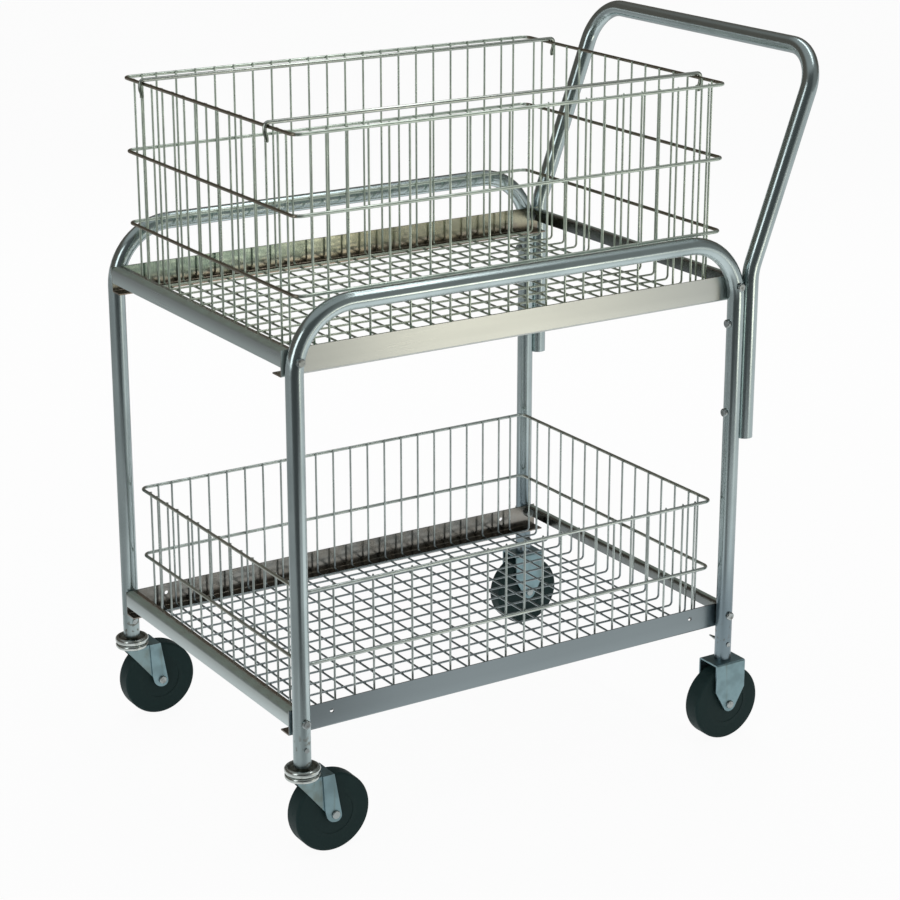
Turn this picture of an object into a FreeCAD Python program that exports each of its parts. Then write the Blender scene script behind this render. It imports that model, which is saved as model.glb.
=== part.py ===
import FreeCAD, Part
import math
import os

from FreeCAD import Vector

# Wire-basket mail cart on four casters.
# Millimetres, +Z up, origin on the floor under the middle of the four legs.
# +X is the push-handle end, -X the swivel-caster end, -Y the left side, +Y the right side.

# Clearances
touch_gap = 0.02            # between pieces that are bolted, welded or pressed together
running_clearance = 0.08    # radial room round a turning shaft
rest_gap = 0.3              # between a loose piece and its seat
hole_clearance = 0.2        # radial room round a bolt or rivet
wheel_side_gap = 0.4        # between a hub and each fork plate
wheel_top_gap = 2.0         # between a tyre and the swivel crown
rigid_top_gap = 8.5         # between a tyre and the plate of a rigid fork
stem_bolt_gap = 6.0         # between the top of a caster stem and the shelf bolt above it

# Bent tube frame
tube_diameter = 25.4
tube_wall = 1.6
leg_spacing_length = 744.0
leg_spacing_width = 556.0
lower_shelf_rise = 50.0     # from the foot of a rear leg to the underside of the lower shelf
shelf_spacing = 522.0
arch_rise = 95.0            # from the underside of the upper shelf to the axis of the arch rail
arch_bend_radius = 90.0

# Push handle, heights measured from the underside of the upper shelf
handle_foot_drop = 214.0
handle_kink_rise = 43.0
handle_bar_rise = 360.0
handle_lean_angle = 20.0
handle_kink_radius = 80.0
handle_corner_radius = 62.0
handle_upper_bolt_drop = 32.0
handle_bolt_spacing = 138.0

# Shelf rails of folded sheet
rail_thickness = 2.0
rail_height = 38.0
rail_flange = 25.0
rail_bend_radius = 3.0
end_rail_height = 24.0
end_rail_flange = 18.0
end_rail_bend_radius = 6.0
shelf_bolt_rise = 25.0      # from the underside of a rail
accessory_hole_diameter = 6.5
accessory_hole_spacing = 632.0
accessory_hole_rise = 23.0

# Bolts and nuts
bolt_diameter = 8.0
bolt_head_diameter = 13.0
bolt_head_height = 4.5
bolt_head_round = 2.0
bolt_tail = 2.0
nut_width = 13.0
nut_height = 6.5
insert_diameter = 12.0      # threaded insert inside the push handle
insert_length = 9.0

# Wire baskets
rim_diameter = 5.0
grid_wire_diameter = 3.2
grid_bend_radius = 6.0
basket_side_gap = 2.8       # between a rim and the shelf rails
basket_end_gap = 9.0        # between a rim and the end rail's flange
basket_corner_radius = 12.0
corner_inset = 30.4         # from the outside of a rim to the outermost upright
end_wire_gap = 23.0         # from the outermost upright to its neighbour
cross_wire_count = 20
long_wire_count = 13
ring_pitch = 108.5
upper_first_ring_rise = 101.0
lower_first_ring_rise = 94.0
upper_ring_count = 3
lower_ring_count = 2

# Hanging-file rods
file_rod_diameter = 6.0
file_rod_spacing = 380.0
file_rod_tail = 22.0

# Wheels
wheel_diameter = 118.0
tyre_width = 30.0
tyre_edge_round = 4.0
core_diameter = 76.0
core_dish_depth = 0.6
core_dish_wall = 6.0
hub_diameter = 24.0
hub_width = 38.0
bush_diameter = 14.0
axle_diameter = 10.0
axle_head_diameter = 12.5
axle_head_height = 3.0
axle_nut_width = 15.0
axle_nut_height = 5.0

# Caster stems
stem_diameter = 11.0
stem_collar_diameter = 17.0
stem_collar_height = 3.0    # shows between the rim of a swivel race and the leg
rivet_diameter = 4.0
rivet_head_diameter = 7.0
rivet_head_height = 1.6
rivet_rise = 27.0           # from the foot of a leg
lock_pin_tail = 20.0        # tapered end of a rear pin, past the inside of the tube
lock_pin_tail_diameter = 7.0
lock_pin_tip_diameter = 2.5

# Forks
fork_plate = 2.5
fork_eye_radius = 11.5
rigid_fork_length = 55.0
rigid_fork_skirt = 45.0
rigid_fork_bend_radius = 3.0
swivel_trail = 40.0
fork_nose = 19.0            # from the swivel axis to the front of a swivel fork
fork_heel = 41.0            # from the swivel axis to the back of its crown
fork_sweep_across = 3.0     # middle of the fork's curved front edge, from the swivel axis
fork_sweep_drop = 20.0      # and below the crown

# Swivel bearings
race_diameter = 52.0
crown_diameter = 51.0
race_plate = 2.2
race_wall = 3.4
race_edge_round = 3.2
race_crest = 5.2            # from the ball track to the top of the race's rim
crown_rim_height = 6.3      # from the underside of the crown
race_rim_width = 5.0        # raised rim round the dished top of the race
race_dish_depth = 3.2
race_lip_gap = 0.6          # between the race's skirt and the crown's rim
ball_diameter = 6.0
ball_circle_diameter = 36.0
ball_count = 16
kingpin_head_diameter = 17.0
kingpin_head_height = 3.5

# Heights that follow from the wheels and the shelves
axle_height = wheel_diameter / 2
crown_bottom = wheel_diameter + wheel_top_gap
crown_top = crown_bottom + race_plate
race_bottom = crown_top + ball_diameter + 2 * rest_gap
race_top = race_bottom + race_crest
bearing_middle = crown_bottom + crown_rim_height + race_lip_gap / 2
front_foot = race_top + stem_collar_height
rear_foot = wheel_diameter + rigid_top_gap + fork_plate
lower_shelf = rear_foot + lower_shelf_rise
upper_shelf = lower_shelf + shelf_spacing
arch_height = upper_shelf + arch_rise
stem_top = lower_shelf + shelf_bolt_rise - bolt_diameter / 2 - stem_bolt_gap

# Places across the frame
tube_radius = tube_diameter / 2
leg_x = leg_spacing_length / 2
leg_y = leg_spacing_width / 2
rail_end = leg_x + tube_radius
rail_outside = leg_y - tube_radius - touch_gap
rail_inside = rail_outside - rail_thickness
basket_half_length = rail_end - end_rail_flange - basket_end_gap
basket_half_width = rail_inside - basket_side_gap

parts = {}


def mirrored(shape, normal):
    """A copy of a shape on the other side of the plane through the origin with this normal."""
    return shape.mirror(Vector(0, 0, 0), normal)


def cylinder(diameter, start, end):
    """A round bar between two points."""
    return Part.makeCylinder(diameter / 2, start.distanceToPoint(end), start, end - start)


def ring_plate(outer_diameter, inner_diameter, x, y, bottom, top):
    """An upright ring round the vertical line through x, y."""
    outer = cylinder(outer_diameter, Vector(x, y, bottom), Vector(x, y, top))
    inner = cylinder(inner_diameter, Vector(x, y, bottom), Vector(x, y, top))
    return outer.cut(inner)


def bent_wire(points, radii):
    """Straight runs through the points, with a tangent arc of its own radius at each inner point."""
    edges = []
    run_start = points[0]
    for before, corner, after, radius in zip(points, points[1:], points[2:], radii):
        arriving = (corner - before).normalize()
        leaving = (after - corner).normalize()
        half_turn = arriving.getAngle(leaving) / 2
        tangent = radius * math.tan(half_turn)
        inward = (leaving - arriving).normalize()
        arc_start = corner - arriving * tangent
        arc_end = corner + leaving * tangent
        arc_middle = corner + inward * (radius / math.cos(half_turn) - radius)
        if run_start.distanceToPoint(arc_start) > touch_gap:
            edges.append(Part.LineSegment(run_start, arc_start).toShape())
        edges.append(Part.Arc(arc_start, arc_middle, arc_end).toShape())
        run_start = arc_end
    edges.append(Part.LineSegment(run_start, points[-1]).toShape())
    return Part.Wire(edges)


def bent_bar(points, radii, diameter):
    """A round bar swept along a bent wire."""
    section = Part.Face(Part.Wire(Part.makeCircle(diameter / 2, points[0], points[1] - points[0])))
    return bent_wire(points, radii).makePipe(section)


def bent_tube(points, radii):
    """A frame tube swept along a bent wire, open at both ends."""
    outside = bent_bar(points, radii, tube_diameter)
    return outside.cut(bent_bar(points, radii, tube_diameter - 2 * tube_wall))


def hexagon(width, start, direction, height):
    """A hexagonal nut blank standing on start."""
    corners = []
    flat_rotation = FreeCAD.Rotation(Vector(0, 0, 1), direction)
    for step in range(7):
        angle = math.radians(60 * step)
        across = Vector(math.cos(angle), math.sin(angle), 0) * (width / math.sqrt(3))
        corners.append(start + flat_rotation.multVec(across))
    return Part.Face(Part.makePolygon(corners)).extrude(direction * height)


def nut(width, height, bore_diameter, start, direction):
    """A hexagonal nut with a plain bore."""
    blank = hexagon(width, start, direction, height)
    return blank.cut(cylinder(bore_diameter, start, start + direction * height))


def domed_bolt(diameter, head_diameter, head_height, head_round, seat, direction, length):
    """A bolt whose rounded head stands on seat and whose shank runs along direction."""
    head = cylinder(head_diameter, seat, seat - direction * head_height)
    top_edge = [edge for edge in head.Edges if edge.Closed
                and (edge.CenterOfMass - seat).dot(direction) < -head_height / 2]
    head = head.makeFillet(min(head_round, 0.45 * head_height), top_edge)
    return head.fuse(cylinder(diameter, seat, seat + direction * length)).removeSplitter()


def leg_axis(height):
    """Distance of a leg's axis from the middle of the cart at a height, following the arch's bend."""
    above_bend = height - (arch_height - arch_bend_radius)
    if above_bend <= 0:
        return leg_x
    return leg_x - arch_bend_radius + math.sqrt(arch_bend_radius ** 2 - above_bend ** 2)


# Where the fasteners go, on the left side of the cart
shelf_bolt_points = []
for shelf in (lower_shelf, upper_shelf):
    bolt_height = shelf + shelf_bolt_rise
    for end in (-1, 1):
        shelf_bolt_points.append(Vector(end * leg_axis(bolt_height), -leg_y, bolt_height))

handle_bolt_points = []
for drop in (handle_upper_bolt_drop, handle_upper_bolt_drop + handle_bolt_spacing):
    handle_bolt_points.append(Vector(leg_x, -leg_y, upper_shelf - drop))

along_y = Vector(0, 1, 0)
along_x = Vector(1, 0, 0)
across_tube_y = along_y * tube_diameter
across_tube_x = along_x * tube_diameter


# Side arches, each one tube bent into two legs and a top rail
def side_arch():
    corners = [
        Vector(-leg_x, -leg_y, front_foot),
        Vector(-leg_x, -leg_y, arch_height),
        Vector(leg_x, -leg_y, arch_height),
        Vector(leg_x, -leg_y, rear_foot),
    ]
    arch = bent_tube(corners, [arch_bend_radius, arch_bend_radius])
    bolt_hole = bolt_diameter + 2 * hole_clearance
    rivet_hole = rivet_diameter + 2 * hole_clearance
    holes = []
    for point in shelf_bolt_points:
        holes.append(cylinder(bolt_hole, point - across_tube_y, point + across_tube_y))
    for point in handle_bolt_points:
        holes.append(cylinder(bolt_hole, point - across_tube_x, point + across_tube_x))
    for x, foot in ((-leg_x, front_foot), (leg_x, rear_foot)):
        rivet = Vector(x, -leg_y, foot + rivet_rise)
        holes.append(cylinder(rivet_hole, rivet - across_tube_y, rivet + across_tube_y))
    return arch.cut(holes)


parts["left_arch"] = side_arch()
parts["right_arch"] = mirrored(parts["left_arch"], along_y)

# Push handle, one tube against the outside of the two rear legs, leaning back above the shelf
handle_x = leg_x + tube_diameter + touch_gap
handle_bar_x = handle_x + (handle_bar_rise - handle_kink_rise) * math.tan(math.radians(handle_lean_angle))
handle_side = [
    Vector(handle_x, -leg_y, upper_shelf - handle_foot_drop),
    Vector(handle_x, -leg_y, upper_shelf + handle_kink_rise),
    Vector(handle_bar_x, -leg_y, upper_shelf + handle_bar_rise),
]
handle_other_side = [Vector(point.x, -point.y, point.z) for point in reversed(handle_side)]
handle_radii = [handle_kink_radius, handle_corner_radius, handle_corner_radius, handle_kink_radius]
push_handle = bent_tube(handle_side + handle_other_side, handle_radii)
for point in handle_bolt_points:
    for side in (1, -1):
        start = Vector(handle_x - tube_diameter, side * point.y, point.z)
        push_handle = push_handle.cut(
            cylinder(bolt_diameter + 2 * hole_clearance, start, start + across_tube_x))
parts["push_handle"] = push_handle


# Long shelf rails, angles with the flange turned in under the basket
def long_rail(shelf, with_accessory_holes):
    upright = Part.makeBox(2 * rail_end, rail_thickness, rail_height,
                           Vector(-rail_end, -rail_outside, shelf))
    flange = Part.makeBox(2 * rail_end, rail_flange, rail_thickness,
                          Vector(-rail_end, -rail_outside, shelf))
    rail = upright.fuse(flange).removeSplitter()
    outside_fold = Vector(0, -rail_outside, shelf)
    inside_fold = Vector(0, -rail_inside, shelf + rail_thickness)
    for fold, radius in ((outside_fold, rail_bend_radius), (inside_fold, rail_bend_radius - rail_thickness)):
        edges = [edge for edge in rail.Edges if edge.CenterOfMass.distanceToPoint(fold) < touch_gap]
        rail = rail.makeFillet(radius, edges)
    for end in (-1, 1):
        bolt_height = shelf + shelf_bolt_rise
        bolt = Vector(end * leg_axis(bolt_height), -leg_y, bolt_height)
        rail = rail.cut(cylinder(bolt_diameter + 2 * hole_clearance, bolt, bolt + across_tube_y))
        if with_accessory_holes:
            hole = Vector(end * accessory_hole_spacing / 2, -leg_y, shelf + accessory_hole_rise)
            rail = rail.cut(cylinder(accessory_hole_diameter, hole, hole + across_tube_y))
    return rail


# Short shelf rails, angles with a rounded top edge turned in, welded between the long rails
def short_rail(shelf):
    top = shelf + rail_height
    half_width = rail_inside - touch_gap
    outer = Part.makeBox(end_rail_flange, 2 * half_width, end_rail_height,
                         Vector(rail_end - end_rail_flange, -half_width, top - end_rail_height))
    inner = Part.makeBox(end_rail_flange, 2 * half_width, end_rail_height,
                         Vector(rail_end - end_rail_flange - rail_thickness, -half_width,
                                top - end_rail_height - rail_thickness))
    rounded = []
    for block, depth in ((outer, 0), (inner, rail_thickness)):
        corner = Vector(rail_end - depth, 0, top - depth)
        edges = [edge for edge in block.Edges if edge.CenterOfMass.distanceToPoint(corner) < touch_gap]
        rounded.append(block.makeFillet(end_rail_bend_radius - depth, edges))
    return rounded[0].cut(rounded[1])


for shelf_name, shelf in (("upper", upper_shelf), ("lower", lower_shelf)):
    left_rail = long_rail(shelf, with_accessory_holes=shelf == lower_shelf)
    rear_rail = short_rail(shelf)
    parts[shelf_name + "_left_rail"] = left_rail
    parts[shelf_name + "_right_rail"] = mirrored(left_rail, along_y)
    parts[shelf_name + "_rear_rail"] = rear_rail
    parts[shelf_name + "_front_rail"] = mirrored(rear_rail, along_x)

# Bolts through legs and rails, heads outside, nuts inside the rails
shelf_bolts = []
shelf_nuts = []
for point in shelf_bolt_points:
    seat = Vector(point.x, -leg_y - tube_radius - touch_gap, point.z)
    nut_seat = Vector(point.x, -rail_inside + touch_gap, point.z)
    length = nut_seat.y - seat.y + nut_height + bolt_tail
    bolt = domed_bolt(bolt_diameter, bolt_head_diameter, bolt_head_height, bolt_head_round,
                      seat, along_y, length)
    shelf_nut = nut(nut_width, nut_height, bolt_diameter + 2 * touch_gap, nut_seat, along_y)
    shelf_bolts += [bolt, mirrored(bolt, along_y)]
    shelf_nuts += [shelf_nut, mirrored(shelf_nut, along_y)]
parts["shelf_bolts"] = Part.makeCompound(shelf_bolts)
parts["shelf_nuts"] = Part.makeCompound(shelf_nuts)

# Bolts through the rear legs into threaded inserts in the push handle, heads towards the baskets
handle_bolts = []
handle_nuts = []
for point in handle_bolt_points:
    seat = Vector(leg_x - tube_radius - touch_gap, point.y, point.z)
    near_wall = Vector(handle_x - tube_radius, point.y, point.z)
    insert_end = near_wall + along_x * insert_length
    length = insert_end.x - seat.x + bolt_tail
    bolt = domed_bolt(bolt_diameter, bolt_head_diameter, bolt_head_height, bolt_head_round,
                      seat, along_x, length)
    tube_bore = cylinder(tube_diameter - 2 * tube_wall - 2 * touch_gap,
                         Vector(handle_x, point.y, point.z - insert_diameter),
                         Vector(handle_x, point.y, point.z + insert_diameter))
    threaded_hole = cylinder(bolt_diameter + 2 * touch_gap, near_wall, insert_end)
    handle_nut = cylinder(insert_diameter, near_wall, insert_end).common(tube_bore).cut(threaded_hole)
    handle_bolts += [bolt, mirrored(bolt, along_y)]
    handle_nuts += [handle_nut, mirrored(handle_nut, along_y)]
parts["handle_bolts"] = Part.makeCompound(handle_bolts)
parts["handle_nuts"] = Part.makeCompound(handle_nuts)


# Wire baskets
rim_x = basket_half_length - rim_diameter / 2
rim_y = basket_half_width - rim_diameter / 2
wall_x = rim_x - rim_diameter / 2 - grid_wire_diameter / 2 - touch_gap
wall_y = rim_y - rim_diameter / 2 - grid_wire_diameter / 2 - touch_gap


def ring_wire(height):
    """A closed rectangular loop of rim wire with rounded corners."""
    corners = [
        Vector(rim_x, 0, height),
        Vector(rim_x, rim_y, height),
        Vector(-rim_x, rim_y, height),
        Vector(-rim_x, -rim_y, height),
        Vector(rim_x, -rim_y, height),
        Vector(rim_x, 0, height),
    ]
    return bent_bar(corners, [basket_corner_radius] * 4, rim_diameter)


def u_wires(places, path_at):
    """U-shaped grid wires, one at each place across the basket."""
    bends = [grid_bend_radius, grid_bend_radius]
    return Part.makeCompound([bent_bar(path_at(place), bends, grid_wire_diameter) for place in places])


def wire_places(half_size, count):
    """Evenly spaced uprights with one more beyond each end of the row."""
    last = half_size - corner_inset
    inner_last = last - end_wire_gap
    pitch = 2 * inner_last / (count - 1)
    return [-last] + [-inner_last + pitch * index for index in range(count)] + [last]


def basket(name, shelf, first_ring_rise, ring_names):
    cross_floor = shelf + rail_thickness + rest_gap + grid_wire_diameter / 2
    long_floor = cross_floor + grid_wire_diameter + touch_gap
    ring_heights = [cross_floor + first_ring_rise + ring_pitch * index for index in range(len(ring_names))]
    upright_top = ring_heights[-1] + rim_diameter / 4
    for ring_name, height in zip(ring_names, ring_heights):
        parts[name + "_basket_" + ring_name] = ring_wire(height)
    parts[name + "_basket_cross_wires"] = u_wires(
        wire_places(basket_half_length, cross_wire_count),
        lambda x: [Vector(x, -wall_y, upright_top), Vector(x, -wall_y, cross_floor),
                   Vector(x, wall_y, cross_floor), Vector(x, wall_y, upright_top)])
    parts[name + "_basket_long_wires"] = u_wires(
        wire_places(basket_half_width, long_wire_count),
        lambda y: [Vector(-wall_x, y, upright_top), Vector(-wall_x, y, long_floor),
                   Vector(wall_x, y, long_floor), Vector(wall_x, y, upright_top)])
    return ring_heights[-1]


ring_names = ["low_ring", "middle_ring", "top_rim"]
upper_rim = basket("upper", upper_shelf, upper_first_ring_rise, ring_names[-upper_ring_count:])
basket("lower", lower_shelf, lower_first_ring_rise, ring_names[-lower_ring_count:])

# Hanging-file rods, hooked over the end rims of the upper basket
hook_radius = (rim_diameter + file_rod_diameter) / 2 + rest_gap
hook_x = rim_x + hook_radius
rod_height = upper_rim + hook_radius
rod_y = -file_rod_spacing / 2
rod_path = [
    Vector(-hook_x, rod_y, upper_rim - file_rod_tail),
    Vector(-hook_x, rod_y, rod_height),
    Vector(hook_x, rod_y, rod_height),
    Vector(hook_x, rod_y, upper_rim - file_rod_tail),
]
parts["left_file_rod"] = bent_bar(rod_path, [hook_radius, hook_radius], file_rod_diameter)
parts["right_file_rod"] = mirrored(parts["left_file_rod"], along_y)


# Wheels, built round an axle through the origin of their caster
fork_inside = hub_width / 2 + wheel_side_gap
fork_outside = fork_inside + fork_plate


def wheel_pieces(x, y):
    """Tyre, core and bush of one wheel whose axle crosses the vertical line through x, y."""
    def slab(diameter, half_width):
        return cylinder(diameter, Vector(x, y - half_width, axle_height),
                        Vector(x, y + half_width, axle_height))

    tyre = slab(wheel_diameter, tyre_width / 2)
    rims = [edge for edge in tyre.Edges if edge.Closed]
    tyre = tyre.makeFillet(tyre_edge_round, rims)
    tyre = tyre.cut(slab(core_diameter, tyre_width))
    core = slab(core_diameter - 2 * touch_gap, tyre_width / 2)
    for side in (-1, 1):
        face_y = y + side * tyre_width / 2
        floor_y = face_y - side * core_dish_depth
        dish = cylinder(core_diameter - 2 * core_dish_wall, Vector(x, floor_y, axle_height),
                        Vector(x, face_y, axle_height))
        core = core.cut(dish)
    core = core.fuse(slab(hub_diameter, hub_width / 2)).removeSplitter()
    core = core.cut(slab(bush_diameter, hub_width))
    bush = slab(bush_diameter - 2 * touch_gap, hub_width / 2)
    bush = bush.cut(slab(axle_diameter + 2 * running_clearance, hub_width))
    return {"tyre": tyre, "wheel_core": core, "wheel_bush": bush}


def axle_pieces(x, y):
    """Axle bolt with its head on the left side of the fork, and its nut on the right side."""
    seat = Vector(x, y - fork_outside - touch_gap, axle_height)
    nut_seat = Vector(x, y + fork_outside + touch_gap, axle_height)
    length = nut_seat.y - seat.y + axle_nut_height + bolt_tail
    axle = domed_bolt(axle_diameter, axle_head_diameter, axle_head_height, bolt_head_round,
                      seat, along_y, length)
    axle_nut = nut(axle_nut_width, axle_nut_height, axle_diameter + 2 * touch_gap, nut_seat, along_y)
    return axle, axle_nut


def tangent_to_eye(from_x, from_z, eye_x, side):
    """Where a straight edge from a point touches the rounded eye of a fork plate."""
    away = Vector(from_x - eye_x, 0, from_z - axle_height)
    reach = away.Length
    swing = math.acos(fork_eye_radius / reach)
    base = math.atan2(away.z, away.x)
    angle = base - side * swing
    outward = Vector(math.cos(angle), 0, math.sin(angle))
    return Vector(eye_x, 0, axle_height) + outward * fork_eye_radius


def side_plates(edges, y):
    """Two fork plates of the outline drawn by edges, one on each side of the wheel."""
    face = Part.Face(Part.Wire(edges))
    plates = []
    for start in (y - fork_outside, y + fork_inside):
        plate = face.copy()
        plate.translate(Vector(0, start, 0))
        plates.append(plate.extrude(along_y * fork_plate))
    return plates


def axle_hole(x, y):
    reach = Vector(0, 2 * fork_outside, 0)
    centre = Vector(x, y, axle_height)
    return cylinder(axle_diameter + 2 * hole_clearance, centre - reach, centre + reach)


# Rigid caster fork, one plate folded down on both sides and tapered to the axle
def rigid_fork(x, y):
    half = rigid_fork_length / 2
    skirt = rear_foot - rigid_fork_skirt
    eye_bottom = Vector(x, 0, axle_height - fork_eye_radius)
    front = tangent_to_eye(x - half, skirt, x, -1)
    back = tangent_to_eye(x + half, skirt, x, 1)
    outline = [
        Vector(x - half, 0, skirt),
        Vector(x - half, 0, rear_foot),
        Vector(x + half, 0, rear_foot),
        Vector(x + half, 0, skirt),
        back,
    ]
    edges = [Part.LineSegment(a, b).toShape() for a, b in zip(outline, outline[1:])]
    edges.append(Part.Arc(back, eye_bottom, front).toShape())
    edges.append(Part.LineSegment(front, outline[0]).toShape())
    plates = side_plates(edges, y)
    top = Part.makeBox(rigid_fork_length, 2 * fork_outside, fork_plate,
                       Vector(x - half, y - fork_outside, rear_foot - fork_plate))
    fork = top.fuse(plates).removeSplitter()
    folds = [edge for edge in fork.Edges
             if abs(edge.CenterOfMass.z - rear_foot) < touch_gap
             and abs(abs(edge.CenterOfMass.y - y) - fork_outside) < touch_gap]
    fork = fork.makeFillet(rigid_fork_bend_radius, folds)
    stem_hole = cylinder(stem_diameter + 2 * touch_gap, Vector(x, y, rear_foot - 2 * fork_plate),
                         Vector(x, y, rear_foot))
    return fork.cut([axle_hole(x, y), stem_hole])


def rigid_stem(x, y):
    """A plain stem riveted under the plate of a rigid fork."""
    head_top = rear_foot - fork_plate - touch_gap
    head_bottom = head_top - kingpin_head_height
    head = cylinder(kingpin_head_diameter, Vector(x, y, head_bottom), Vector(x, y, head_top))
    shank = cylinder(stem_diameter, Vector(x, y, head_bottom), Vector(x, y, stem_top))
    return head.fuse(shank).removeSplitter()


def rounded_disc(diameter, x, y, bottom, top):
    """A disc of the swivel bearing with its two outer edges rounded."""
    disc = cylinder(diameter, Vector(x, y, bottom), Vector(x, y, top))
    edges = [edge for edge in disc.Edges if edge.Closed]
    return disc.makeFillet(min(race_edge_round, 0.45 * (top - bottom)), edges)


# Swivel caster fork, a round crown with a raised rim and two swept plates
def swivel_fork(x, y):
    eye_x = x + swivel_trail
    eye_bottom = Vector(eye_x, 0, axle_height - fork_eye_radius)
    nose = Vector(x - fork_nose, 0, crown_bottom)
    sweep = Vector(x + fork_sweep_across, 0, crown_bottom - fork_sweep_drop)
    front = tangent_to_eye(sweep.x, sweep.z, eye_x, -1)
    back = tangent_to_eye(x + fork_heel, crown_top, eye_x, 1)
    heel = Vector(x + fork_heel, 0, crown_top)
    nose_top = Vector(x - fork_nose, 0, crown_top)
    edges = [
        Part.LineSegment(nose, nose_top).toShape(),
        Part.LineSegment(nose_top, heel).toShape(),
        Part.LineSegment(heel, back).toShape(),
        Part.Arc(back, eye_bottom, front).toShape(),
        Part.Arc(front, sweep, nose).toShape(),
    ]
    plates = side_plates(edges, y)
    lip_top = bearing_middle - race_lip_gap / 2
    crown = rounded_disc(crown_diameter, x, y, crown_bottom, lip_top)
    hollow = cylinder(crown_diameter - 2 * race_wall, Vector(x, y, crown_top), Vector(x, y, lip_top))
    crown = crown.cut(hollow)
    beak = Part.makeBox(fork_heel, 2 * fork_outside, race_plate, Vector(x, y - fork_outside, crown_bottom))
    fork = crown.fuse([beak] + plates).removeSplitter()
    bore = cylinder(stem_diameter + 2 * running_clearance, Vector(x, y, crown_bottom), Vector(x, y, lip_top))
    return fork.cut([axle_hole(eye_x, y), bore])


def kingpin(x, y):
    """A swivel stem with a dished upper race, a collar and the rivet head that carries the fork."""
    skirt_bottom = bearing_middle + race_lip_gap / 2
    dish_bottom = race_top - race_dish_depth
    dish = Part.makeCone(stem_collar_diameter / 2, race_diameter / 2 - race_rim_width, race_dish_depth,
                         Vector(x, y, dish_bottom))
    hollow = cylinder(race_diameter - 2 * race_wall, Vector(x, y, skirt_bottom), Vector(x, y, race_bottom))
    race = rounded_disc(race_diameter, x, y, skirt_bottom, race_top).cut([dish, hollow])
    collar = cylinder(stem_collar_diameter, Vector(x, y, dish_bottom), Vector(x, y, front_foot - touch_gap))
    head_top = crown_bottom - rest_gap
    head_bottom = head_top - kingpin_head_height
    head = cylinder(kingpin_head_diameter, Vector(x, y, head_bottom), Vector(x, y, head_top))
    shank = cylinder(stem_diameter, Vector(x, y, head_top), Vector(x, y, stem_top))
    return race.fuse([collar, head, shank]).removeSplitter()


def bearing_balls(x, y):
    """Steel balls between the race and the crown."""
    centre_height = crown_top + rest_gap + ball_diameter / 2
    balls = []
    for index in range(ball_count):
        angle = 2 * math.pi * index / ball_count
        centre = Vector(x + ball_circle_diameter / 2 * math.cos(angle),
                        y + ball_circle_diameter / 2 * math.sin(angle), centre_height)
        balls.append(Part.makeSphere(ball_diameter / 2, centre))
    return Part.makeCompound(balls)


# Casters, stems and sleeves at the four legs, held by rivets in front and by long pins behind
sleeves = []
rivets = []
lock_pins = []
rear_axle_nuts = []
sleeve_outside = tube_diameter - 2 * tube_wall - 2 * touch_gap
for side_name, y in (("left", -leg_y), ("right", leg_y)):
    for end_name, x in (("front", -leg_x), ("rear", leg_x)):
        caster = end_name + "_" + side_name
        is_front = end_name == "front"
        foot = front_foot if is_front else rear_foot
        rivet_height = foot + rivet_rise
        wheel_x = x + swivel_trail if is_front else x
        axle, axle_nut = axle_pieces(wheel_x, y)
        for piece_name, piece in wheel_pieces(wheel_x, y).items():
            parts[caster + "_" + piece_name] = piece
        parts[caster + "_axle"] = axle
        if is_front:
            parts[caster + "_axle_nut"] = axle_nut
            parts[caster + "_fork"] = swivel_fork(x, y)
            parts[caster + "_bearing_balls"] = bearing_balls(x, y)
            stem = kingpin(x, y)
        else:
            rear_axle_nuts.append(axle_nut)
            parts[caster + "_fork"] = rigid_fork(x, y)
            stem = rigid_stem(x, y)
        sleeve = ring_plate(sleeve_outside, stem_diameter + 2 * touch_gap, x, y, foot, stem_top)
        inward = along_y if y < 0 else -along_y
        rivet_start = Vector(x, y, rivet_height) - inward * (tube_radius + touch_gap)
        rivet_end = Vector(x, y, rivet_height) + inward * (tube_radius + touch_gap)
        drilled = cylinder(rivet_diameter + 2 * hole_clearance, rivet_start, rivet_end)
        shank = cylinder(rivet_diameter, rivet_start, rivet_end)
        head = cylinder(rivet_head_diameter, rivet_start, rivet_start - inward * rivet_head_height)
        if is_front:
            closed_head = cylinder(rivet_head_diameter, rivet_end, rivet_end + inward * rivet_head_height)
            rivets.append(shank.fuse([head, closed_head]).removeSplitter())
        else:
            tail = Part.makeCone(lock_pin_tail_diameter / 2, lock_pin_tip_diameter / 2, lock_pin_tail,
                                 rivet_end, inward)
            lock_pins.append(shank.fuse([head, tail]).removeSplitter())
        sleeves.append(sleeve.cut(drilled))
        parts[caster + "_stem"] = stem.cut(drilled)
parts["stem_sleeves"] = Part.makeCompound(sleeves)
parts["stem_rivets"] = Part.makeCompound(rivets)
parts["rear_lock_pins"] = Part.makeCompound(lock_pins)
parts["rear_axle_nuts"] = Part.makeCompound(rear_axle_nuts)

os.makedirs("parts", exist_ok=True)
for name, shape in parts.items():
    shape.exportStep("parts/" + name + ".step")
    print(name, len(shape.Solids), "solids,", "valid" if shape.isValid() else "NOT VALID",
          round(shape.Volume / 1000, 1), "cm3")
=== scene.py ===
import math

import bmesh
import bpy
from mathutils import Matrix, Vector


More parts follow.
